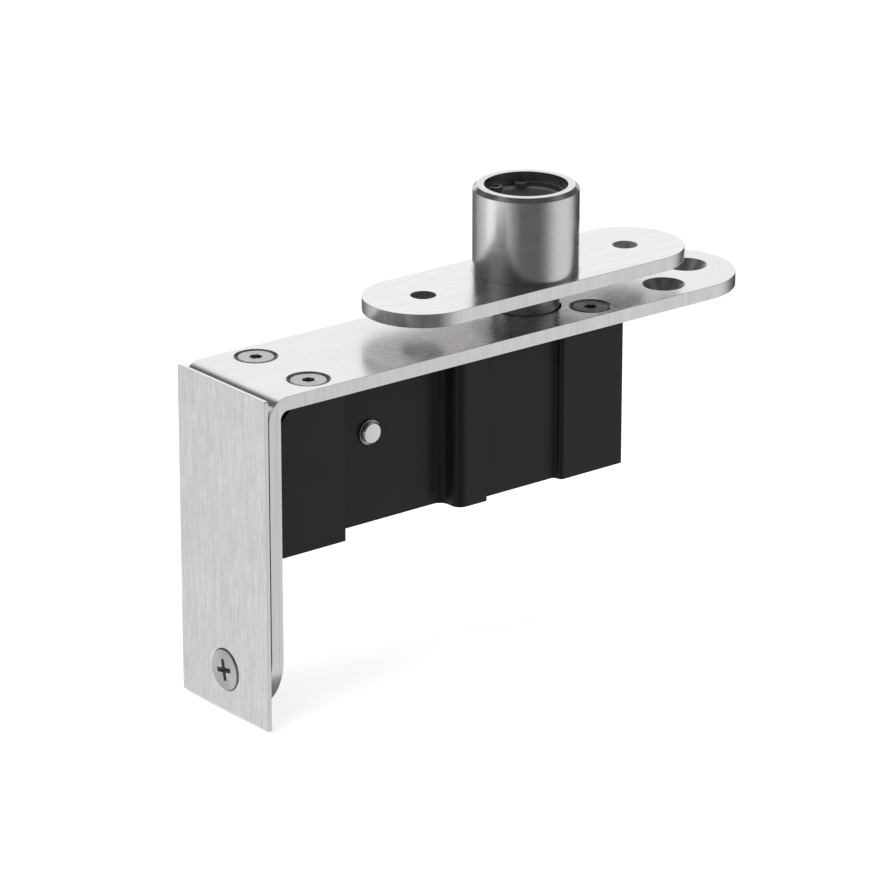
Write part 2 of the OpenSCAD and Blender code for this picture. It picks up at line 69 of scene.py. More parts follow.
bracket_low, bracket_high = box_mm("door_bracket")
cover_low, cover_high = box_mm("cover_plate")
housing_low, housing_high = box_mm("housing")
plate_low, plate_high = box_mm("frame_plate")
tube_low, tube_high = box_mm("pivot_tube")
bush_low, bush_high = box_mm("pivot_bush")
clip_low, clip_high = box_mm("tube_circlip")
pin_low, pin_high = box_mm("pivot_pin")
axle_low, axle_high = box_mm("lever_axle")
cover_screw_low, cover_screw_high = box_mm("cover_screw")
adjuster_low, adjuster_high = box_mm("adjusting_screw")
screws_low, screws_high = box_mm("housing_screws")

strip_half_w = bracket_high.y
arm_top = bracket_high.z
arm_under = housing_high.z
strip_t = arm_top - arm_under
leg_out = bracket_low.x
leg_in = leg_out + strip_t
arm_end_x = bracket_high.x - strip_half_w
leg_end_z = bracket_low.z + strip_half_w
axle_x = (axle_low.x + axle_high.x) / 2
axle_z = (axle_low.z + axle_high.z) / 2
axle_r = (axle_high.x - axle_low.x) / 2
adjuster_z = (adjuster_low.z + adjuster_high.z) / 2
pin_r = pin_high.x
cover_screw_z = (cover_screw_low.z + cover_screw_high.z) / 2
cover_head_r = cover_screw_high.y

# Sizes that the frame's boxes don't show: the bracket, the housing screws' places and the frame plate

BEND_IN_R = 1.8
SINK_R = 4.6
WOOD_HOLE_R = 2.5
KEY_HOLE_R = 2.75
LEG_HOLE_Y = 7.5
LEG_HOLE_Z = -55.0
END_CIRCLE_X = 36.7
END_CIRCLE_R = 8.5
SCREW_XS = (-64.5, 10.5)
SCREW_Y = 9.0
SCREW_HOLE_R = 2.2
PIN_HOLE_R = pin_r + 0.4
PLATE_HOLE_X = 27.65
PLATE_HOLE_R = 2.7

# The cover's screw hole, whose rim is dished

COVER_SINK_R = 4.65
COVER_THREAD_R = 2.5
COVER_CORNER = 0.3
DISH_W = 0.3
DISH_DEPTH = 0.06

# The cover screw: its dome and rim above the cover, and its cross

DOME_H = 0.33
RIM_H = 0.28
RIM_EDGE = 0.08
COVER_LAND = 0.25
RECESS_HALF = 2.25
RECESS_ARM = 0.475
RECESS_DEPTH = 1.6
RECESS_TURN = 12

# The housing: half its width at its narrower sections, its steps along X and the steps' roundings

HOUSING_SHALLOW_Y = 12.5
HOUSING_WAIST_Y = 8.9
SHOULDER_X = -59.4
RIB_X = -29.8
RIB_END_X = -22.1
BLOCK_X = -2.0
RIB_EDGE = 2.2
BLOCK_EDGE = 1.0

# The housing's bevel under the bend, its well and its bores

HOUSING_CORNER = 3.0
WELL_FLOOR = 2.0
WELL_X = (-60.77, -42.07)
WELL_HALF = 6.9
SLOT_HALF = 3.1
SLEEVE_BORE_R = 9.5
SEAT_BORE_R = 4.45
SEAT_DEPTH = 5.6
WAY_BORE_R = 2.6

# The housing screws, each with its own turn in degrees and depth below the arm's top

M_HEAD_R = 3.75
M_THREAD_R = 2.0
M_HEX = 1.25
M_SOCKET = 1.6
SCREW_TURNS = (27, 2, -8, 22)
SCREW_DEPTHS = (0.17, 0.07, 0.1, 0.1)

# How far the axle's ends stand out of the housing

AXLE_PROUD = 1.35

# The tube: the seam round its foot, the chamfer at its mouth and the clearance round the circlip

SEAM_W = 0.25
SEAM_DEPTH = 0.03
MOUTH_CHAMFER = 0.9
LIP_R = 7.9
GROOVE_DEPTH = 0.5
CLIP_CLEARANCE = 0.05

# The circlip: its ring, its lugs and the middle of its opening in degrees

CLIP_W = 1.35
LUG_R = 1.5
LUG_HOLE_R = 0.8
CLIP_MIDDLE = 82
CLIP_HALF_OPEN = 23.5

# Small roundings of edges

STRIP_EDGE = 0.08
COVER_EDGE = 0.06
HOLE_EDGE = 0.08
THIN_EDGE = 0.05
PLASTIC_EDGE = 0.12
TURNED_EDGE = 0.1


# Outlines and profiles

def turned_corner(here, before, after, radius, steps):
    """The points of an arc of this radius that rounds the corner here, between before and after."""
    to_before = (before - here).normalized()
    to_after = (after - here).normalized()
    half = to_before.angle(to_after) / 2
    centre = here + (to_before + to_after).normalized() * radius / sin(half)
    start = here + to_before * radius / tan(half) - centre
    end = here + to_after * radius / tan(half) - centre
    first = atan2(start.y, start.x)
    sweep = (atan2(end.y, end.x) - first + pi) % (2 * pi) - pi
    angles = [first + sweep * i / steps for i in range(steps + 1)]
    return [centre + radius * Vector((cos(a), sin(a))) for a in angles]


def rounded(corners, closed=False, steps=4):
    """A line through corners (a, b) or (a, b, radius). A corner with a radius becomes an arc."""
    points = []
    for i, corner in enumerate(corners):
        here = Vector(corner[:2])
        inner = closed or 0 < i < len(corners) - 1
        if len(corner) > 2 and inner:
            before = Vector(corners[i - 1][:2])
            after = Vector(corners[(i + 1) % len(corners)][:2])
            added = turned_corner(here, before, after, corner[2], steps)
        else:
            added = [here]
        for point in added:
            if not points or (point - points[-1]).length > 1e-5:
                points.append(point)
    return points


def circle(radius, segments, x=0.0, y=0.0):
    angles = [2 * pi * i / segments for i in range(segments)]
    return [Vector((x + radius * cos(a), y + radius * sin(a))) for a in angles]


def oval(half_length, half_width):
    """A bar with round ends along X, anticlockwise."""
    end = half_length - half_width
    steps = 48
    angles = [pi * i / steps - pi / 2 for i in range(steps + 1)]
    right = [Vector((end + half_width * cos(a), half_width * sin(a))) for a in angles]
    return right + [-p for p in right]


def inset(outline, distance):
    """An anticlockwise outline drawn in by this distance."""
    moved = []
    for i, here in enumerate(outline):
        along = (here - outline[i - 1]).normalized()
        onward = (outline[(i + 1) % len(outline)] - here).normalized()
        left = Vector((-along.y, along.x))
        next_left = Vector((-onward.y, onward.x))
        moved.append(here + (left + next_left) * distance / (1 + left.dot(next_left)))
    return moved


def edge_profile(thickness, edge):
    """The rim of a plate with rounded edges, as (how far drawn in, height below the top) points."""
    return rounded([(edge, 0), (0, 0, edge), (0, -thickness, edge), (edge, -thickness)], steps=3)


def plain_hole(radius, thickness, edge=HOLE_EDGE):
    """A through hole's (radius, height) points, from the top down."""
    return rounded([
        (radius + edge, 0),
        (radius, 0, edge),
        (radius, -thickness, edge),
        (radius + edge, -thickness),
    ], steps=2)


def sunk_hole(rim_r, hole_r, thickness, edge=HOLE_EDGE):
    """A countersunk hole's (radius, height) points, from the top down."""
    cone_h = rim_r - hole_r
    return rounded([
        (rim_r + edge, 0),
        (rim_r, 0, edge),
        (hole_r, -cone_h, edge),
        (hole_r, -thickness, edge),
        (hole_r + edge, -thickness),
    ], steps=2)


def from_below(profile, thickness):
    """The same hole, opening downwards."""
    return [Vector((p.x, -thickness - p.y)) for p in reversed(profile)]


# Meshes

class Skin:
    """A mesh under construction, in millimetres."""

    def __init__(self):
        self.bm = bmesh.new()

    def ring(self, points, z):
        return [self.bm.verts.new((p.x, p.y, z)) for p in points]

    def walls(self, rings, finish=0):
        """Faces between rings that follow each other. A ring of one point is a pole."""
        for upper, lower in zip(rings, rings[1:]):
            for i in range(max(len(upper), len(lower))):
                corners = [upper[i % len(upper)], upper[(i + 1) % len(upper)]]
                corners += [lower[(i + 1) % len(lower)], lower[i % len(lower)]]
                face = self.bm.faces.new(list(dict.fromkeys(corners)))
                face.material_index = finish

    def fill(self, loops, finish=0):
        """A flat face with holes, inside the first loop and outside the others."""
        edges = [self.bm.edges.get((loop[i - 1], loop[i])) for loop in loops for i in range(len(loop))]
        made = bmesh.ops.triangle_fill(self.bm, use_beauty=True, use_dissolve=False, edges=edges)
        for part in made["geom"]:
            if isinstance(part, bmesh.types.BMFace):
                part.material_index = finish

    def move(self, matrix):
        bmesh.ops.transform(self.bm, matrix=matrix, verts=self.bm.verts)
        return self

    def add(self, other):
        """Takes over another skin's faces."""
        mesh = bpy.data.meshes.new("part")
        other.bm.to_mesh(mesh)
        self.bm.from_mesh(mesh)
        bpy.data.meshes.remove(mesh)


def plate(outline, rim, holes=(), finishes=(0, 1, 2)):
    """A plate below z = 0. rim is its edge's profile, and holes are (outline function, profile) pairs.
    finishes are the numbers of the materials on its faces, its edge and its holes' walls."""
    skin = Skin()
    rings = [skin.ring(inset(outline, p.x), p.y) for p in rim]
    skin.walls(rings, finishes[1])
    tops, feet = [rings[0]], [rings[-1]]
    for shape, profile in holes:
        rings = [skin.ring(shape(p.x), p.y) for p in profile]
        skin.walls(rings, finishes[2])
        tops.append(rings[0])
        feet.append(rings[-1])
    skin.fill(tops, finishes[0])
    skin.fill(feet, finishes[0])
    return skin


def round_at(x, y, segments=48):
    """The outline function of a round hole centred here."""
    return lambda radius: circle(radius, segments, x, y)


def lathe(profile, segments):
    """A solid turned about Z from (radius, height) points. It is hollow if they start off the axis."""
    skin = Skin()
    rings = []
    for p in profile:
        points = circle(p.x, segments) if p.x > 1e-6 else [Vector((0, 0))]
        rings.append(skin.ring(points, p.y))
    hollow = len(rings[0]) > 1
    skin.walls(rings + rings[:1] if hollow else rings)
    return skin


def hexagon(apothem, segments=48):
    """A hexagon of this inner radius, with as many points as a circle of this many segments."""
    sixth = pi / 3
    points = []
    for i in range(segments):
        a = 2 * pi * i / segments
        reach = apothem / cos((a + sixth / 2) % sixth - sixth / 2)
        points.append(Vector((reach * cos(a), reach * sin(a))))
    return points


def solid(skin, name="cutter"):
    """The skin as an object, in millimetres, with outward normals."""
    bmesh.ops.recalc_face_normals(skin.bm, faces=skin.bm.faces)
    mesh = bpy.data.meshes.new(name)
    skin.bm.to_mesh(mesh)
    skin.bm.free()
    made = bpy.data.objects.new(name, mesh)
    bpy.context.scene.collection.objects.link(made)
    return made


def cut(skin, cutters):
    """The skin's solid less each of the cutters."""
    made = solid(skin, "cut")
    for cutter in cutters:
        tool = solid(cutter)
        change = made.modifiers.new("cut", "BOOLEAN")
        change.operation = "DIFFERENCE"
        change.solver = "EXACT"
        change.object = tool
        seen = made.evaluated_get(bpy.context.evaluated_depsgraph_get())
        mesh = bpy.data.meshes.new_from_object(seen)
        made.modifiers.clear()
        made.data = mesh
        bpy.data.objects.remove(tool)
    left = Skin()
    left.bm.from_mesh(made.data)
    bpy.data.objects.remove(made)
    return left


def piece(name, skin, body, slot, finishes, *nodes, sharp=radians(40)):
    """A finished piece: its mesh in metres, its finishes, its body and the CAD nodes it stands for."""
    bm = skin.bm
    bmesh.ops.scale(bm, vec=(MM, MM, MM), verts=bm.verts)
    bmesh.ops.recalc_face_normals(bm, faces=bm.faces)
    for face in bm.faces:
        face.smooth = True
    for edge in bm.edges:
        edge.smooth = len(edge.link_faces) == 2 and edge.calc_face_angle(0) < sharp
    mesh = bpy.data.meshes.new(name)
    bm.to_mesh(mesh)
    bm.free()
    made = bpy.data.objects.new(name, mesh)
    bpy.context.scene.collection.objects.link(made)
    for finish in finishes:
        mesh.materials.append(finish)
    even = made.modifiers.new("even_normals", "WEIGHTED_NORMAL")
    even.mode = "FACE_AREA"
    even.weight = 80
    even.keep_sharp = True
    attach(made, body)
    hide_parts(*nodes)


# Finishes

class Shader:
    """One material's nodes. Its Principled shader is self.surface."""

    def __init__(self, name, surface="BsdfPrincipled"):
        self.material = bpy.data.materials.new(name)
        self.material.use_nodes = True
        self.tree = self.material.node_tree
        self.tree.nodes.clear()
        output = self.tree.nodes.new("ShaderNodeOutputMaterial")
        self.output = output.inputs["Surface"]
        self.surface = self.add(surface)
        self.join(self.surface.outputs[0], self.output)

    def add(self, kind, settings=None, **values):
        """A node with these settings, and with these values or links on its inputs."""
        node = self.tree.nodes.new("ShaderNode" + kind)
        for key, value in (settings or {}).items():
            setattr(node, key, value)
        for key, value in values.items():
            self.give(node.inputs[key.replace("_", " ")], value)
        return node

    def give(self, socket, value):
        """Puts a value or a link on a socket."""
        if isinstance(value, bpy.types.NodeSocket):
            self.join(value, socket)
        else:
            socket.default_value = value

    def join(self, source, socket):
        self.tree.links.new(source, socket)

    def math(self, operation, a, b=0.0):
        node = self.add("Math", {"operation": operation})
        self.give(node.inputs[0], a)
        self.give(node.inputs[1], b)
        return node.outputs[0]

    def vector(self, operation, a, b=(0.0, 0.0, 0.0)):
        node = self.add("VectorMath", {"operation": operation})
        self.give(node.inputs[0], a)
        self.give(node.inputs[1], b)
        return node.outputs[0]

    def span(self, value, low, high, start=0.0, end=1.0):
        """The value, taken from the range start to end to the range low to high."""
        node = self.add("MapRange", {"interpolation_type": "LINEAR"}, Value=value)
        for socket, number in zip(node.inputs[1:5], (start, end, low, high)):
            socket.default_value = number
        return node.outputs[0]

    def grey(self, value, tint=(1.0, 1.0, 1.0)):
        """A grey of this value, tinted."""
        node = self.add("CombineXYZ")
        for socket, share in zip(node.inputs, tint):
            self.give(socket, self.math("MULTIPLY", value, share))
        return node.outputs[0]

    def noise(self, place, marks, detail=2.0, roughness=0.6):
        """Noise with this many marks per metre along each axis."""
        scaled = self.vector("MULTIPLY", place, marks)
        node = self.add("TexNoise", Vector=scaled, Scale=1.0, Detail=detail, Roughness=roughness)
        return node.outputs[0]

    def varied(self, noise, middle, spread):
        """Noise taken to a range that reaches this share of the middle to each side of it."""
        return self.span(noise, middle * (1 - spread), middle * (1 + spread), 0.3, 0.7)

    def finish(self, shade, tint, gloss):
        """The surface's colour, from a shade and a tint, and its roughness."""
        self.join(self.grey(shade, tint), self.surface.inputs["Base Color"])
        self.join(gloss, self.surface.inputs["Roughness"])

    def bump(self, height, depth):
        """Marks of this depth in mm."""
        node = self.add("Bump", Height=height, Distance=depth * MM)
        self.join(node.outputs[0], self.surface.inputs["Normal"])

    def lean(self, amount, direction):
        """Makes the gloss anisotropic, with its tangent in this direction of the object."""
        self.surface.inputs["Anisotropic"].default_value = amount
        turned = self.add(
            "VectorTransform",
            {"vector_type": "VECTOR", "convert_from": "OBJECT", "convert_to": "WORLD"},
            Vector=direction,
        )
        self.join(self.vector("NORMALIZE", turned.outputs[0]), self.surface.inputs["Tangent"])


def brushed(name, marks, level, rough, tint, spread=0.05, uneven=0.2, lean=0.4, depth=0.0006):
    """Brushed steel. marks are the brush marks per metre along each axis, level is its brightness and
    spread how much that varies, rough its roughness and uneven how much that varies, lean its anisotropy
    and depth the marks' depth in mm."""
    s = Shader(name)
    place = s.add("TexCoord").outputs["Object"]
    fine = s.noise(place, marks, 3.0)
    broad = s.noise(place, [0.25 * m for m in marks], 2.0)
    cloud = s.noise(place, (90.0, 90.0, 90.0), 2.0)
    mixed = s.math("ADD", s.math("MULTIPLY", fine, 0.6), s.math("MULTIPLY", broad, 0.4))
    patchy = s.math("ADD", s.math("MULTIPLY", mixed, 0.7), s.math("MULTIPLY", cloud, 0.3))
    s.finish(s.varied(mixed, level, spread), tint, s.varied(patchy, rough, uneven))
    s.surface.inputs["Metallic"].default_value = 1.0
    # The tangent lies across the marks: along Y on the flat faces, and round the rim on the edges
    facing = s.add("TexCoord").outputs["Normal"]
    s.lean(lean, s.vector("ADD", s.vector("CROSS_PRODUCT", facing, (0.0, 0.0, 1.0)), (0.0, 0.05, 0.0)))
    s.bump(mixed, depth)
    return s.material


def turned_metal(name, level, rough, tint=(1.0, 1.0, 1.0), spread=0.04, depth=0.0005, marks=3000.0,
                 centres=(0.0, 0.0, 0.0), lean=0.0, level_axis=False):
    """Turned metal: fine rings about upright axes, marks of them per metre, and a faint cloudiness.
    centres gives the axes in mm: one number for X's middle, one for how far they lie from it along X and
    one for how far from Y = 0. With a level axis, along X, the three are for Y and Z instead. With a
    lean, its anisotropy, the gloss is drawn out across the rings."""
    s = Shader(name)
    place = s.add("TexCoord").outputs["Object"]
    parts = s.add("SeparateXYZ", Vector=place)
    x, y, z = parts.outputs
    if level_axis:
        x, y, z = y, z, x
    x = s.math("SUBTRACT", x, centres[0] * MM)
    x = s.math("SUBTRACT", x, s.math("MULTIPLY", s.math("SIGN", x), centres[1] * MM))
    y = s.math("SUBTRACT", y, s.math("MULTIPLY", s.math("SIGN", y), centres[2] * MM))
    radius = s.math("SQRT", s.math("ADD", s.math("MULTIPLY", x, x), s.math("MULTIPLY", y, y)))
    angle = s.math("ARCTAN2", y, x)
    along = s.add("CombineXYZ", X=radius, Y=s.math("MULTIPLY", angle, 0.001), Z=z).outputs[0]
    rings = s.noise(along, (marks, marks, marks), 2.0)
    cloud = s.noise(place, (450.0, 450.0, 300.0), 3.0)
    mixed = s.math("ADD", s.math("MULTIPLY", rings, 0.4), s.math("MULTIPLY", cloud, 0.6))
    s.finish(s.varied(mixed, level, spread), tint, s.varied(mixed, rough, 0.15))
    s.surface.inputs["Metallic"].default_value = 1.0
    if lean:
        outward = s.add("CombineXYZ", Y=x, Z=y) if level_axis else s.add("CombineXYZ", X=x, Y=y)
        # A little is added so that the axis itself has a direction too
        s.lean(lean, s.vector("ADD", outward.outputs[0], (0.0, 0.00001, 0.0)))
    s.bump(mixed, depth)
    return s.material


def plain_metal(name, level, rough, tint=(1.0, 1.0, 1.0), spread=0.06, grain=1500.0):
    """Metal of small parts: a fine even grain."""
    s = Shader(name)
    place = s.add("TexCoord").outputs["Object"]
    fine = s.noise(place, (grain, grain, grain), 3.0)
    s.finish(s.varied(fine, level, spread), tint, s.varied(fine, rough, 0.15))
    s.surface.inputs["Metallic"].default_value = 1.0
    s.bump(fine, 0.0004)
    return s.material


def plastic(name, level, rough, ior, tint=(1.0, 1.0, 1.0), grain=2500.0):
    """Moulded plastic: a fine matte grain and faint clouds in its gloss."""
    s = Shader(name)
    place = s.add("TexCoord").outputs["Object"]
    fine = s.noise(place, (grain, grain, grain), 2.0)
    cloud = s.noise(place, (60.0, 60.0, 60.0), 2.0)
    s.finish(s.varied(cloud, level, 0.1), tint, s.varied(cloud, rough, 0.05))
    s.surface.inputs["IOR"].default_value = ior
    s.bump(fine, 0.0006)
    return s.material


# Brush marks per metre along X, Y and Z: long along X and Z on the faces, long along Z on the edges
FACE_MARKS = (150.0, 3000.0, 150.0)
PLATE_MARKS = (130.0, 1800.0, 130.0)
COVER_MARKS = (250.0, 3000.0, 250.0)
EDGE_MARKS = (1700.0, 1700.0, 40.0)

# Tints of the steel
FACE_TINT = (1.0, 0.985, 0.98)
EDGE_TINT = (1.0, 0.98, 0.965)
HOLE_TINT = (1.0, 0.975, 0.955)

bracket_face = brushed("bracket_steel_face", FACE_MARKS, 0.86, 0.27, FACE_TINT, spread=0.06,
                       depth=0.0004)
plate_face = brushed("plate_steel_face", PLATE_MARKS, 0.86, 0.22, FACE_TINT, spread=0.085,
                     uneven=0.3, depth=0.0008)
bracket_edge = brushed("bracket_steel_edge", EDGE_MARKS, 0.82, 0.25, EDGE_TINT, spread=0.1, lean=0.3)
cover_face = brushed("cover_steel_face", COVER_MARKS, 0.85, 0.3, (1.0, 0.983, 0.967), spread=0.16,
                     depth=0.003)
cover_edge = brushed("cover_steel_edge", EDGE_MARKS, 0.86, 0.28, (1.0, 0.98, 0.96), spread=0.05,
                     lean=0.3)
hole_steel = plain_metal("machined_steel", 0.5, 0.33, HOLE_TINT, spread=0.04)
# The frame plate's two holes, one darker than the other: one drilled steel, as a copy with painted shade
# and a copy with painted light
hole_steel_painted_shade = plain_metal("drilled_steel_painted_shade", 0.62, 0.55, HOLE_TINT, spread=0.04)
hole_steel_painted_light = plain_metal("drilled_steel_painted_light", 0.99, 0.85, (1.0, 0.99, 0.99), spread=0.01)
tube_steel = turned_metal("turned_steel", 0.75, 0.23, (1.0, 0.985, 0.965), spread=0.06, depth=0.0002)
# A darker copy of the turned steel for the tube's bore and the underside of its foot: painted shade
bore_steel_painted_shade = turned_metal("bore_steel_painted_shade", 0.5, 0.3)
pin_steel = turned_metal("pin_steel", 0.5, 0.3)
screw_steel = plain_metal("screw_steel", 0.68, 0.5, EDGE_TINT)
screw_middle = (SCREW_XS[0] + SCREW_XS[1]) / 2
turned_screws = turned_metal(
    "turned_screw_steel", 0.95, 0.68, (1.0, 0.978, 0.965), spread=0.1, marks=1800.0,
    centres=(screw_middle, SCREW_XS[1] - screw_middle, SCREW_Y), lean=0.3,
)
cover_screw_steel = turned_metal(
    "cover_screw_steel", 0.67, 0.45, EDGE_TINT, spread=0.08, marks=1800.0,
    centres=(0.0, 0.0, -cover_screw_z), lean=0.7, level_axis=True,
)
# Darker steel for the screws' sockets and the cover screw's cross: painted shade in the recesses
socket_steel_painted_shade = plain_metal("socket_painted_shade", 0.45, 0.5)
lever_steel = plain_metal("lever_steel", 0.45, 0.42)
spring_steel = plain_metal("dark_spring_steel", 0.45, 0.4)
axle_steel = plain_metal("axle_steel", 0.82, 0.26)
brass = plain_metal("brass", 0.8, 0.3, (1.0, 0.82, 0.45))
black_plastic = plastic("black_plastic", 0.0085, 0.34, 1.32)
bush_liner = plastic("bush_liner", 0.11, 0.4, 1.45)


# The pieces of the door half

# The bend's axis, its length on the flat strip, its facets, and how far beside it the strip is scored
BEND_X = leg_in + BEND_IN_R
BEND_Z = arm_under - BEND_IN_R
BEND_FLAT = 6.0
BEND_STEPS = 16
BEND_MARGIN = 0.2


def flat_x(z):
    """Where a height on the leg lies on the flat strip."""
    return BEND_X - BEND_FLAT - (BEND_Z - z)


def bend(point):
    """A point of the flat strip, whose top lies at z = 0, taken to its place on the bent one."""
    radius = BEND_IN_R + strip_t + point.z
    if point.x >= BEND_X:
        return Vector((point.x, point.y, BEND_Z + radius))
    if point.x <= BEND_X - BEND_FLAT:
        return Vector((BEND_X - radius, point.y, BEND_Z - (BEND_X - BEND_FLAT - point.x)))
    angle = (BEND_X - point.x) / BEND_FLAT * pi / 2
    return Vector((BEND_X - radius * sin(angle), point.y, BEND_Z + radius * cos(angle)))


def bracket():
    """The bent strip: made flat with its holes, scored across the bend and folded."""
    foot_x = flat_x(leg_end_z)
    middle = (arm_end_x + foot_x) / 2
    half_length = (arm_end_x - foot_x) / 2 + strip_half_w
    outline = [p + Vector((middle, 0)) for p in oval(half_length, strip_half_w)]
    sunk = sunk_hole(SINK_R, WOOD_HOLE_R, strip_t)
    cover_rim = COVER_SINK_R - (leg_out - cover_low.x)
    holes = [(round_at(0, 0, 96), plain_hole(PIN_HOLE_R, strip_t))]
    holes += [(round_at(x, y), sunk_hole(SINK_R, SCREW_HOLE_R, strip_t))
              for x in SCREW_XS for y in (-SCREW_Y, SCREW_Y)]
    for at in circle(END_CIRCLE_R, 3, END_CIRCLE_X):
        holes.append((round_at(at.x, at.y), sunk))
    holes += [(round_at(flat_x(LEG_HOLE_Z), y), sunk) for y in (-LEG_HOLE_Y, LEG_HOLE_Y)]
    holes.append((round_at(flat_x(adjuster_z), 0), plain_hole(KEY_HOLE_R, strip_t)))
    holes.append((round_at(flat_x(cover_screw_z), 0), sunk_hole(cover_rim, COVER_THREAD_R, strip_t)))
    skin = plate(outline, edge_profile(strip_t, STRIP_EDGE), holes)
    scores = [BEND_X - BEND_FLAT * i / BEND_STEPS for i in range(BEND_STEPS + 1)]
    scores += [BEND_X + BEND_MARGIN, BEND_X - BEND_FLAT - BEND_MARGIN]
    for x in scores:
        everything = skin.bm.verts[:] + skin.bm.edges[:] + skin.bm.faces[:]
        bmesh.ops.bisect_plane(
            skin.bm, geom=everything, plane_co=(x, 0, 0), plane_no=(1, 0, 0), dist=1e-5,
        )
    for vert in skin.bm.verts:
        vert.co = bend(vert.co)
    finishes = [bracket_face, bracket_edge, hole_steel]
    piece("bent_strip", skin, "door_part", "bracket_steel", finishes, "door_bracket")


def on_leg(x, z):
    """Puts local Z out of the leg's outer side, at this depth and height, and local X to the right."""
    turn = Matrix(((0, 0, -1), (-1, 0, 0), (0, 1, 0))).to_4x4()
    return Matrix.Translation((x, 0, z)) @ turn


def cover():
    """The cover plate. The dished rim round its screw hole has the finish of the plate's edge."""
    half_w = cover_high.y
    half_h = (cover_high.z - cover_low.z) / 2
    middle = (cover_high.z + cover_low.z) / 2
    thickness = cover_high.x - cover_low.x
    outline = rounded([
        (-half_w, -half_h, COVER_CORNER),
        (half_w, -half_h, COVER_CORNER),
        (half_w, half_h, COVER_CORNER),
        (-half_w, half_h, COVER_CORNER),
    ], closed=True)
    profile = rounded([
        (COVER_SINK_R + DISH_W, 0),
        (COVER_SINK_R, -DISH_DEPTH, 0.03),
        (COVER_SINK_R - thickness, -thickness),
    ], steps=2)
    hole_y = cover_screw_z - middle
    skin = plate(outline, edge_profile(thickness, COVER_EDGE), [(round_at(0, hole_y, 64), profile)])
    for face in skin.bm.faces:
        centre = face.calc_center_median()
        if face.material_index == 2 and hypot(centre.x, centre.y - hole_y) > COVER_SINK_R:
            face.material_index = 1
    skin.move(on_leg(cover_low.x, middle))
    finishes = [cover_face, cover_edge, hole_steel]
    piece("cover_sheet", skin, "door_part", "cover_steel", finishes, "cover_plate")


def cross_cutter():
    """The driver's cross: four arms that narrow downwards, with round corners between them."""
    def outline(grow):
        """The cross at one level, grown by this much at its arms' ends."""
        far, near = RECESS_HALF + grow, RECESS_ARM + 0.4 * grow
        corners = []
        for quarter in range(4):
            a = quarter * pi / 2
            for x, y, r in ((far, -near, 0.12), (far, near, 0.12), (near, near, 0.4)):
                corners.append((x * cos(a) - y * sin(a), x * sin(a) + y * cos(a), r))
        return rounded(corners, closed=True)

    skin = Skin()
    levels = ((0.25, DOME_H + 0.5), (0.0, 0.0), (-0.6, -RECESS_DEPTH + 0.4), (-1.2, -RECESS_DEPTH))
    rings = [skin.ring(outline(grow), z) for grow, z in levels]
    skin.walls(rings)
    skin.fill([rings[0]])
    skin.fill([rings[-1]])
    return skin.move(Matrix.Rotation(radians(RECESS_TURN), 4, "Z"))


def cover_screw():
    """The cover's screw: a low dome with a cross in it, a conical underside and a chamfered tip."""
    head_r = cover_head_r
    rise = DOME_H - RIM_H
    dome_r = (head_r ** 2 + rise ** 2) / (2 * rise)
    dome_edge = head_r - 0.1
    rim_a = atan2(dome_edge, dome_r - rise)
    angles = [rim_a * i / 10 for i in range(11)]
    dome = [Vector((dome_r * sin(a), dome_r * cos(a) - dome_r + DOME_H)) for a in angles]
    length = cover_screw_high.x - cover_low.x
    tip = 0.4
    body = rounded([
        (dome_edge, dome[-1].y),
        (head_r, RIM_H, RIM_EDGE),
        (head_r, -COVER_LAND, THIN_EDGE),
        (COVER_THREAD_R, -COVER_LAND - head_r + COVER_THREAD_R),
        (COVER_THREAD_R, tip - length),
        (COVER_THREAD_R - tip, -length),
        (0, -length),
    ], steps=3)
    skin = cut(lathe(dome[:-1] + body, 96), [cross_cutter()])
    # The cross's walls and floor are the faces near the axis, below the dome and above the cross's foot.
    # They take the darker socket steel, painted shade in the recess
    for face in skin.bm.faces:
        middle = face.calc_center_median()
        out = hypot(middle.x, middle.y)
        surface = sqrt(dome_r ** 2 - out ** 2) - dome_r + DOME_H
        in_cross = out < RECESS_HALF + 0.15 and -RECESS_DEPTH - 0.01 < middle.z < surface - 0.03
        face.material_index = int(in_cross)
    skin.move(on_leg(cover_low.x, cover_screw_z))
    finishes = [cover_screw_steel, socket_steel_painted_shade]
    piece("cross_screw", skin, "door_part", "screw_steel", finishes, "cover_screw",
          sharp=radians(35))


def housing():
    """The black body: its stepped outline, the well for the mechanism, and the bores along X and Y."""
    proud, shallow, waist = housing_high.y, HOUSING_SHALLOW_Y, HOUSING_WAIST_Y
    e = PLASTIC_EDGE
    side = [
        (leg_in, proud, e),
        (SHOULDER_X, proud, e),
        (SHOULDER_X, waist, e),
        (RIB_X, waist, RIB_EDGE),
        (RIB_X, proud, RIB_EDGE),
        (RIB_END_X, proud, e),
        (RIB_END_X, shallow, e),
        (BLOCK_X, shallow, BLOCK_EDGE),
        (BLOCK_X, proud, BLOCK_EDGE),
        (housing_high.x, proud, e),
    ]
    other = [(x, -y, r) for x, y, r in reversed(side)]
    outline = rounded(list(reversed(side + other)), closed=True, steps=8)
    height = housing_high.z - housing_low.z
    skin = plate(outline, edge_profile(height, e), finishes=(0, 0, 0))
    skin.move(Matrix.Translation((0, 0, housing_high.z)))
    piece("mechanism_body", cut(skin, housing_cutters()), "door_part", "black_plastic",
          [black_plastic], "housing")


def prism(outline, low, high):
    """A block of this outline between two heights."""
    skin = Skin()
    rings = [skin.ring(outline, z) for z in (high, low)]
    skin.walls(rings)
    skin.fill([rings[0]])
    skin.fill([rings[1]])
    return skin


def bar(radius, length, axis, *start):
    """A plain round bar from this point, along X or Y."""
    corners = ((0, 0), (radius, 0), (radius, length), (0, length))
    skin = lathe([Vector(corner) for corner in corners], 48)
    turn = Matrix.Rotation(pi / 2, 4, "Y") if axis == "X" else Matrix.Rotation(-pi / 2, 4, "X")
    return skin.move(Matrix.Translation(start) @ turn)


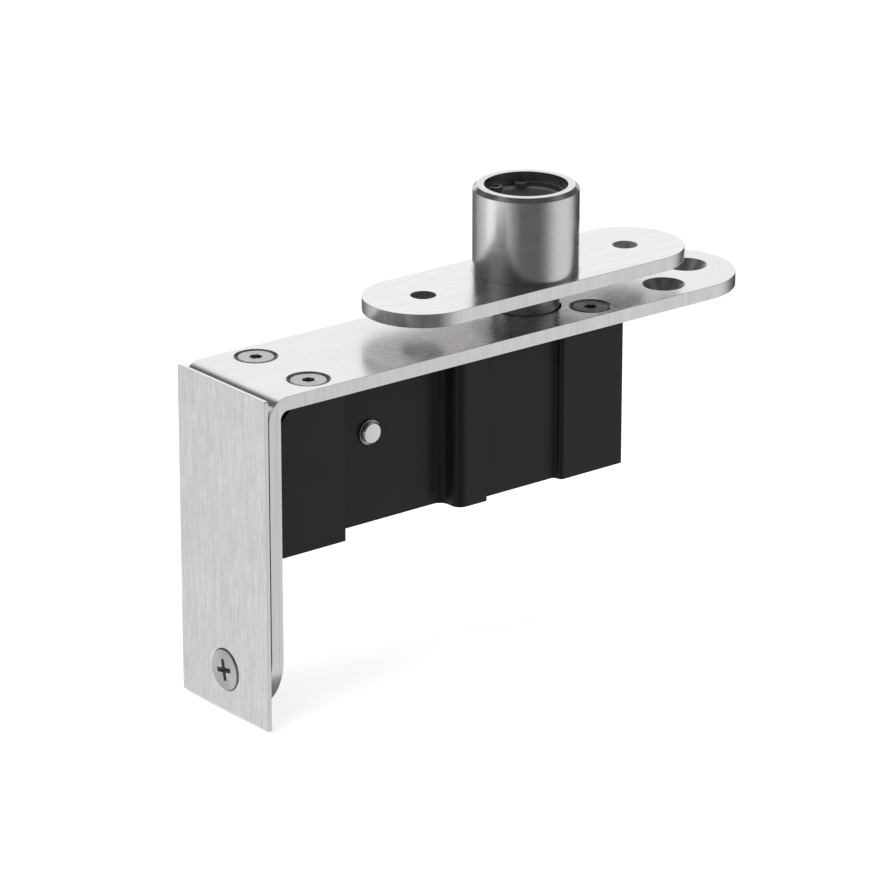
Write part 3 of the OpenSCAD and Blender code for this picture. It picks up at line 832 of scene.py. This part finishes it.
def housing_cutters():
    """The well with the sleeve's bore, the bevel under the bend, the adjuster's bores and the axle's."""
    over = 1.0
    well_x0, well_x1 = WELL_X
    turn = pi - atan2(SLOT_HALF, sqrt(SLEEVE_BORE_R ** 2 - SLOT_HALF ** 2))
    angles = [-turn + 2 * turn * i / 64 for i in range(65)]
    outline = [(well_x0, -WELL_HALF), (well_x1, -WELL_HALF), (well_x1, -SLOT_HALF)]
    outline += [(SLEEVE_BORE_R * cos(a), SLEEVE_BORE_R * sin(a)) for a in angles]
    outline += [(well_x1, SLOT_HALF), (well_x1, WELL_HALF), (well_x0, WELL_HALF)]
    depth = housing_high.z - housing_low.z - WELL_FLOOR
    well = prism([Vector(point) for point in outline], -depth, over)
    well.move(Matrix.Translation((0, 0, housing_high.z)))

    reach = HOUSING_CORNER + over
    triangle = [Vector((-over, over)), Vector((-over, -reach)), Vector((reach, over))]
    bevel = prism(triangle, -strip_half_w - over, strip_half_w + over)
    upright = Matrix(((1, 0, 0), (0, 0, 1), (0, 1, 0))).to_4x4()
    bevel.move(Matrix.Translation((leg_in, 0, arm_under)) @ upright)

    start_x = leg_in - over
    seat = bar(SEAT_BORE_R, adjuster_low.x + SEAT_DEPTH - start_x, "X", start_x, 0, adjuster_z)
    way = bar(WAY_BORE_R, well_x0 + over - start_x, "X", start_x, 0, adjuster_z)
    axle_bore = bar(axle_r + 0.02, 2 * strip_half_w, "Y", axle_x, -strip_half_w, axle_z)
    return [well, bevel, seat, way, axle_bore]


def housing_screw(x, y, turn, sunk):
    """A countersunk screw with a hexagon socket. turn is its angle and sunk its depth in the arm."""
    foot_z = screws_low.z - arm_top
    tip = 0.3
    rim = rounded([
        (M_HEAD_R - 0.3, -sunk),
        (M_HEAD_R, -sunk, 0.1),
        (M_HEAD_R, M_HEAD_R - SINK_R, 0.08),
        (M_THREAD_R, M_THREAD_R - SINK_R),
        (M_THREAD_R, foot_z + tip),
        (M_THREAD_R - tip, foot_z),
    ], steps=2)
    skin = Skin()
    foot = skin.ring([Vector((0, 0))], foot_z)
    socket = [skin.ring([Vector((0, 0))], -M_SOCKET - 0.35)]
    socket += [skin.ring(hexagon(M_HEX), z) for z in (-M_SOCKET, -sunk - 0.03)]
    # The socket's walls take the darker socket steel, painted shade in the socket
    skin.walls(socket, 1)
    outside = [socket[-1], skin.ring(hexagon(M_HEX + 0.03), -sunk)]
    outside += [skin.ring(circle(p.x, 48), p.y) for p in rim]
    skin.walls(outside + [foot])
    return skin.move(Matrix.Translation((x, y, arm_top)) @ Matrix.Rotation(radians(turn), 4, "Z"))


def housing_screws():
    """The four screws, as one piece."""
    skin = Skin()
    places = [(x, y) for x in SCREW_XS for y in (-SCREW_Y, SCREW_Y)]
    for (x, y), turn, sunk in zip(places, SCREW_TURNS, SCREW_DEPTHS):
        skin.add(housing_screw(x, y, turn, sunk))
    finishes = [turned_screws, socket_steel_painted_shade]
    piece("socket_screws", skin, "door_part", "screw_steel", finishes, "housing_screws",
          sharp=radians(35))


def axle():
    """The axle. Each end is a chamfered head, then a neck and a thin rim against the housing."""
    half = axle_high.y
    head_r, neck_r, rim_r = axle_r - 0.1, axle_r - 0.3, axle_r + 0.2
    chamfer, neck_start, neck_end = 0.35, 0.55, 0.85
    seat = AXLE_PROUD - 0.02
    # One end, inwards, as (radius, distance from the end, rounding of the corner)
    end = [
        (head_r - chamfer, 0, 0.04),
        (head_r, chamfer, 0.04),
        (head_r, neck_start - 0.05, 0.03),
        (neck_r, neck_start + 0.05),
        (neck_r, neck_end),
        (rim_r, neck_end + 0.05, 0.08),
        (rim_r, seat),
        (axle_r, seat),
    ]
    profile = [(0, -half)] + [(r, depth - half, *edge) for r, depth, *edge in end]
    profile += [(r, half - depth, *edge) for r, depth, *edge in reversed(end)] + [(0, half)]
    skin = lathe(rounded(profile, steps=3), 64)
    for face in skin.bm.faces:
        face.material_index = int(abs(face.calc_center_median().z) < half - neck_start)
    skin.move(Matrix.Translation((axle_x, 0, axle_z)) @ Matrix.Rotation(pi / 2, 4, "X"))
    piece("axle_pin", skin, "door_part", "screw_steel", [axle_steel, hole_steel], "lever_axle")


# The pieces of the frame half

def frame_plate():
    """The oval plate, its screw holes countersunk from below, with a close hole for the tube."""
    thickness = plate_high.z - plate_low.z
    sunk = from_below(sunk_hole(SINK_R, PLATE_HOLE_R, thickness), thickness)
    holes = [(round_at(x, 0), sunk) for x in (-PLATE_HOLE_X, PLATE_HOLE_X)]
    holes.append((round_at(0, 0, 96), plain_hole(tube_high.x, thickness, 0.03)))
    skin = plate(oval(plate_high.x, plate_high.y), edge_profile(thickness, STRIP_EDGE), holes)
    # The hole on the +X side takes the copy with painted light, the other holes the copy with painted
    # shade
    for face in skin.bm.faces:
        if face.material_index == 2 and face.calc_center_median().x > tube_high.x:
            face.material_index = 3
    finishes = [plate_face, bracket_edge, hole_steel_painted_shade, hole_steel_painted_light]
    piece("oval_plate", skin, "frame_part", "bracket_steel", finishes, "frame_plate")


def tube():
    """The tube. The seam round its foot lies just below the plate's top."""
    foot_r = tube_high.x
    out_r = foot_r - SEAM_W
    bore_r = bush_high.x
    groove_r = bore_r + GROOVE_DEPTH
    groove_top, groove_foot = clip_high.z + CLIP_CLEARANCE, clip_low.z - CLIP_CLEARANCE
    e = TURNED_EDGE
    profile = rounded([
        (LIP_R, tube_low.z + 0.1),
        (LIP_R + 0.1, tube_low.z),
        (foot_r - 0.06, tube_low.z),
        (foot_r, tube_low.z + 0.06),
        (foot_r, -2 * SEAM_DEPTH),
        (foot_r - SEAM_DEPTH, -SEAM_DEPTH),
        (out_r, -SEAM_DEPTH),
        (out_r, tube_high.z - MOUTH_CHAMFER, e),
        (out_r - MOUTH_CHAMFER, tube_high.z, e),
        (bore_r, tube_high.z, e),
        (bore_r, groove_top),
        (groove_r, groove_top),
        (groove_r, groove_foot),
        (bore_r, groove_foot),
        (bore_r, bush_low.z),
        (LIP_R, bush_low.z),
    ], steps=3)
    skin = lathe(profile, 128)
    # The bore and the foot's underside take the darker copy of the turned steel, painted shade in the
    # bore and in the gap under the foot
    for face in skin.bm.faces:
        middle = face.calc_center_median()
        inside = hypot(middle.x, middle.y) < groove_r and middle.z < tube_high.z - e
        face.material_index = int(inside or middle.z < tube_low.z + 0.05)
    finishes = [tube_steel, bore_steel_painted_shade]
    piece("turned_tube", skin, "frame_part", "turned_steel", finishes, "pivot_tube")


def circlip():
    """An open ring with two lugs that reach inwards, each with a hole for the pliers."""
    out_r = bush_high.x + GROOVE_DEPTH - CLIP_CLEARANCE
    in_r = out_r - CLIP_W
    lug_at = out_r - CLIP_W / 2 - LUG_R / 2
    lug_half = degrees(atan2(LUG_R, sqrt(lug_at ** 2 - LUG_R ** 2)))
    start, end = CLIP_MIDDLE + CLIP_HALF_OPEN, CLIP_MIDDLE - CLIP_HALF_OPEN + 360

    def reach(angle):
        """Inner and outer radius at this angle: the ring's, widened by a lug."""
        inner, outer = (in_r, out_r) if start <= angle <= end else (None, None)
        for lug in (start, end):
            off = radians(angle - lug)
            inside = LUG_R ** 2 - (lug_at * sin(off)) ** 2
            if inside > 0 and cos(off) > 0:
                near = lug_at * cos(off) - sqrt(inside)
                far = lug_at * cos(off) + sqrt(inside)
                inner = near if inner is None else min(inner, near)
                outer = far if outer is None else max(outer, far)
        return inner, min(outer, out_r)

    def around(radius, angle):
        return Vector((radius * cos(radians(angle)), radius * sin(radians(angle))))

    # The outline's angles in degrees: fine steps over the lugs, and 4 degrees between them
    margin, step = 0.15, 4
    first, last = start - lug_half + margin, end + lug_half - margin
    near_lug = [first + (2 * lug_half) * i / 20 for i in range(21)]
    count = int((end - start - 2 * lug_half) / step - 2)
    between = [near_lug[-1] + step * (i + 1) for i in range(count)]
    far_lug = [last - (2 * lug_half) * i / 20 for i in range(20, -1, -1)]
    angles = near_lug + between + far_lug
    outer = [around(reach(a)[1], a) for a in angles]
    inner = [around(reach(a)[0], a) for a in reversed(angles)]
    thickness = clip_high.z - clip_low.z
    centres = [around(lug_at, a) for a in (start, end)]
    lug_hole = plain_hole(LUG_HOLE_R, thickness, THIN_EDGE)
    holes = [(round_at(at.x, at.y, 24), lug_hole) for at in centres]
    skin = plate(outer + inner, edge_profile(thickness, THIN_EDGE), holes, finishes=(0, 0, 0))
    skin.move(Matrix.Translation((0, 0, clip_high.z)))
    finishes = [spring_steel]
    piece("inner_circlip", skin, "frame_part", "dark_spring_steel", finishes, "tube_circlip")


bracket()
cover()
cover_screw()
housing()
housing_screws()
axle()
frame_plate()
tube()
circlip()

# The pieces inside keep their CAD shape
CAD_FINISHES = {
    "guide_sleeve": lever_steel,
    "lever_washers": screw_steel,
    "thrust_washer": screw_steel,
    "adjusting_screw": spring_steel,
    "adjuster_nut": brass,
    "nut_trunnions": lever_steel,
    "rocker_lever": lever_steel,
    "lever_bush": brass,
    "lever_pin": screw_steel,
    "pivot_pin": pin_steel,
    "pivot_bush": bush_liner,
}
for node, finish in CAD_FINISHES.items():
    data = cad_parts[node].data
    data.materials.clear()
    data.materials.append(finish)


# The camera

def toward_camera(azimuth, elevation):
    """The direction at this angle to the right of the camera, as it sees it, and this elevation."""
    back = Vector((sin(CAMERA_AZIMUTH), -cos(CAMERA_AZIMUTH), 0))
    right = Vector((cos(CAMERA_AZIMUTH), sin(CAMERA_AZIMUTH), 0))
    level = back * cos(azimuth) + right * sin(azimuth)
    return level * cos(elevation) + Vector((0, 0, sin(elevation)))


def add_camera():
    data = bpy.data.cameras.new("photo_camera")
    data.lens = CAMERA_LENS
    data.sensor_width = CAMERA_SENSOR
    camera = bpy.data.objects.new("photo_camera", data)
    bpy.context.scene.collection.objects.link(camera)
    back = toward_camera(0, CAMERA_ELEVATION)
    camera.location = CAMERA_TARGET + back * CAMERA_DISTANCE
    camera.rotation_mode = "QUATERNION"
    camera.rotation_quaternion = back.to_track_quat("Z", "Y")
    bpy.context.scene.camera = camera


# The studio

# The world's strength on matte surfaces
MATTE_LIGHT = 0.55

# The floor's depth below the bracket in mm, and half its width in metres
FLOOR_GAP = 1.2
FLOOR_HALF = 4.0

# The cards' facets: degrees a column, and the number of rows
CARD_COLUMN = 5
CARD_ROWS = 8

# The lamps' distance and width in metres
LAMP_DISTANCE = 1.2
LAMP_SIZE = 0.8


def add_world():
    """White for the camera and in reflections, and a softer white light on matte surfaces."""
    world = bpy.data.worlds.new("studio")
    bpy.context.scene.world = world
    world.use_nodes = True
    tree = world.node_tree
    tree.nodes.clear()
    output = tree.nodes.new("ShaderNodeOutputWorld")
    light = tree.nodes.new("ShaderNodeBackground")
    light.inputs["Color"].default_value = (1, 1, 1, 1)
    path = tree.nodes.new("ShaderNodeLightPath")
    seen = path.outputs["Is Camera Ray"]
    for ray in ("Is Glossy Ray", "Is Transmission Ray"):
        either = tree.nodes.new("ShaderNodeMath")
        either.operation = "MAXIMUM"
        tree.links.new(seen, either.inputs[0])
        tree.links.new(path.outputs[ray], either.inputs[1])
        seen = either.outputs[0]
    level = tree.nodes.new("ShaderNodeMapRange")
    level.inputs["To Min"].default_value = MATTE_LIGHT
    level.inputs["To Max"].default_value = 1.0
    tree.links.new(seen, level.inputs["Value"])
    tree.links.new(level.outputs[0], light.inputs["Strength"])
    tree.links.new(light.outputs[0], output.inputs["Surface"])


def add_floor():
    """A pale floor that keeps the object's shadow. It can be seen through from below."""
    s = Shader("pale_floor", "BsdfDiffuse")
    place = s.add("TexCoord").outputs["Object"]
    s.join(s.grey(s.span(s.noise(place, (30.0, 30.0, 30.0)), 0.79, 0.81)), s.surface.inputs["Color"])
    glow = s.add("Emission", Strength=0.5)
    both = s.add("AddShader")
    s.join(s.surface.outputs[0], both.inputs[0])
    s.join(glow.outputs[0], both.inputs[1])
    sides = s.add("MixShader", Fac=s.add("NewGeometry").outputs["Backfacing"])
    s.join(both.outputs[0], sides.inputs[1])
    s.join(s.add("BsdfTransparent").outputs[0], sides.inputs[2])
    s.join(sides.outputs[0], s.output)
    s.material.cycles.emission_sampling = "NONE"
    mesh = bpy.data.meshes.new("floor")
    floor_z = (bracket_low.z - FLOOR_GAP) * MM
    signs = ((-1, -1), (1, -1), (1, 1), (-1, 1))
    corners = [(x * FLOOR_HALF, y * FLOOR_HALF, floor_z) for x, y in signs]
    mesh.from_pydata(corners, [], [(0, 1, 2, 3)])
    mesh.materials.append(s.material)
    floor = bpy.data.objects.new("floor", mesh)
    bpy.context.scene.collection.objects.link(floor)
    floor.visible_glossy = False


def card(name, distance, azimuths, elevations, tones, fade_sides, fade_ends):
    """A curved studio card that only reflections show, at this distance from the object in metres.
    azimuths and elevations are its reach in degrees, with azimuth 0 at the camera. tones are (share of
    its length, brightness) pairs, and the fades are the shares of its height and length over which it
    becomes clear towards its edges."""
    s = Shader(name, "Emission")
    uv = s.add("SeparateXYZ", Vector=s.add("TexCoord").outputs["UV"])
    u, v = uv.outputs[0], uv.outputs[1]
    ramp = s.add("ValToRGB", Fac=u)
    stops = ramp.color_ramp.elements
    while len(stops) < len(tones):
        stops.new(0.5)
    for stop, (at, level) in zip(stops, sorted(tones)):
        stop.position = at
        stop.color = (level, level, level, 1)
    s.join(ramp.outputs[0], s.surface.inputs["Color"])
    cover_share = None
    for share, fade in ((u, fade_ends), (v, fade_sides)):
        if not fade:
            continue
        to_edge = s.math("MINIMUM", share, s.math("SUBTRACT", 1.0, share))
        eased = s.add("MapRange", {"interpolation_type": "SMOOTHSTEP"}, Value=to_edge)
        eased.inputs["From Max"].default_value = fade
        here = eased.outputs[0]
        cover_share = here if cover_share is None else s.math("MULTIPLY", cover_share, here)
    mix = s.add("MixShader", Fac=cover_share)
    s.join(s.add("BsdfTransparent").outputs[0], mix.inputs[1])
    s.join(s.surface.outputs[0], mix.inputs[2])
    s.join(mix.outputs[0], s.output)
    s.material.cycles.emission_sampling = "NONE"

    bm = bmesh.new()
    layer = bm.loops.layers.uv.new("UVMap")
    columns = round((azimuths[1] - azimuths[0]) / CARD_COLUMN)
    rows = CARD_ROWS
    grid = []
    for j in range(rows + 1):
        elevation = radians(elevations[0] + (elevations[1] - elevations[0]) * j / rows)
        row = []
        for i in range(columns + 1):
            azimuth = radians(azimuths[0] + (azimuths[1] - azimuths[0]) * i / columns)
            row.append(bm.verts.new(CAMERA_TARGET + distance * toward_camera(azimuth, elevation)))
        grid.append(row)
    for j in range(rows):
        for i in range(columns):
            face = bm.faces.new((grid[j][i], grid[j][i + 1], grid[j + 1][i + 1], grid[j + 1][i]))
            corners = ((0, 0), (1, 0), (1, 1), (0, 1))
            for loop, (du, dv) in zip(face.loops, corners):
                loop[layer].uv = ((i + du) / columns, (j + dv) / rows)
    mesh = bpy.data.meshes.new(name)
    bm.to_mesh(mesh)
    bm.free()
    mesh.materials.append(s.material)
    made = bpy.data.objects.new(name, mesh)
    bpy.context.scene.collection.objects.link(made)
    made.visible_camera = False
    made.visible_diffuse = False
    made.visible_transmission = False
    made.visible_shadow = False


# Brightness of the low card that runs all round, by azimuth in degrees
LOW_TONES = (
    (-180, 0.24), (-168, 0.24), (-155, 0.13), (-138, 0.22), (-120, 0.54), (-108, 0.62), (-100, 0.7),
    (-90, 1.1), (-80, 1.15), (-63, 0.98), (-46, 0.78), (-29, 0.32), (-14, 0.14), (30, 0.12), (37, 0.18),
    (47, 0.3), (57, 0.52), (67, 0.68), (80, 0.75), (104, 0.75), (117, 0.5), (128, 0.2), (142, 0.05),
    (158, 0.06), (170, 0.18), (180, 0.24),
)
# Brightness of the card that stands in front, by azimuth in degrees
FRONT_TONES = (
    (-92, 0.1), (-83, 0.14), (-72, 0.18), (-61, 0.185), (-50, 0.13), (-39, 0.065), (-28, 0.042),
    (0, 0.04), (40, 0.037), (60, 0.09), (118, 0.28),
)


def shares(tones):
    """Tones by azimuth, as tones by the share of the card's length."""
    first, last = tones[0][0], tones[-1][0]
    return [((a - first) / (last - first), level) for a, level in tones]


def flat_tone(level):
    """The same brightness along the whole card."""
    return [(0, level), (1, level)]


def add_cards():
    """The seven cards: distance, azimuths, elevations, tones, and the fades of their sides and ends."""
    card("low_card", 2.0, (-180, 180), (-86, 2), shares(LOW_TONES), 0.045, 0)
    card("front_card", 2.0, (-92, 118), (2, 55), shares(FRONT_TONES), 0.06, 0.06)
    card("top_card", 2.03, (-92, 118), (48, 100), flat_tone(0.07), 0.06, 0.06)
    card("left_card", 2.05, (-154, -78), (0, 35), flat_tone(0.08), 0.13, 0.11)
    card("left_high_card", 2.1, (-146, -80), (28, 66), flat_tone(0.08), 0.2, 0.25)
    card("right_card", 2.15, (85, 165), (3, 60), flat_tone(0.08), 0.15, 0.15)
    card("foot_card", 1.95, (74, 175), (-86, -42), flat_tone(0.18), 0.22, 0.1)


def add_lamp(name, azimuth, elevation, power):
    """A square area lamp at these angles in degrees, its power in watts. Reflections don't show it."""
    data = bpy.data.lights.new(name, "AREA")
    data.size = LAMP_SIZE
    data.energy = power
    lamp = bpy.data.objects.new(name, data)
    bpy.context.scene.collection.objects.link(lamp)
    outward = toward_camera(radians(azimuth), radians(elevation))
    lamp.location = CAMERA_TARGET + outward * LAMP_DISTANCE
    lamp.rotation_mode = "QUATERNION"
    lamp.rotation_quaternion = outward.to_track_quat("Z", "Y")
    lamp.visible_glossy = False
    lamp.visible_camera = False


add_camera()
add_world()
add_floor()
add_cards()
add_lamp("key_lamp", azimuth=-50, elevation=55, power=6)
add_lamp("fill_lamp", azimuth=70, elevation=40, power=4)

view = bpy.context.scene.view_settings
view.view_transform = "Standard"
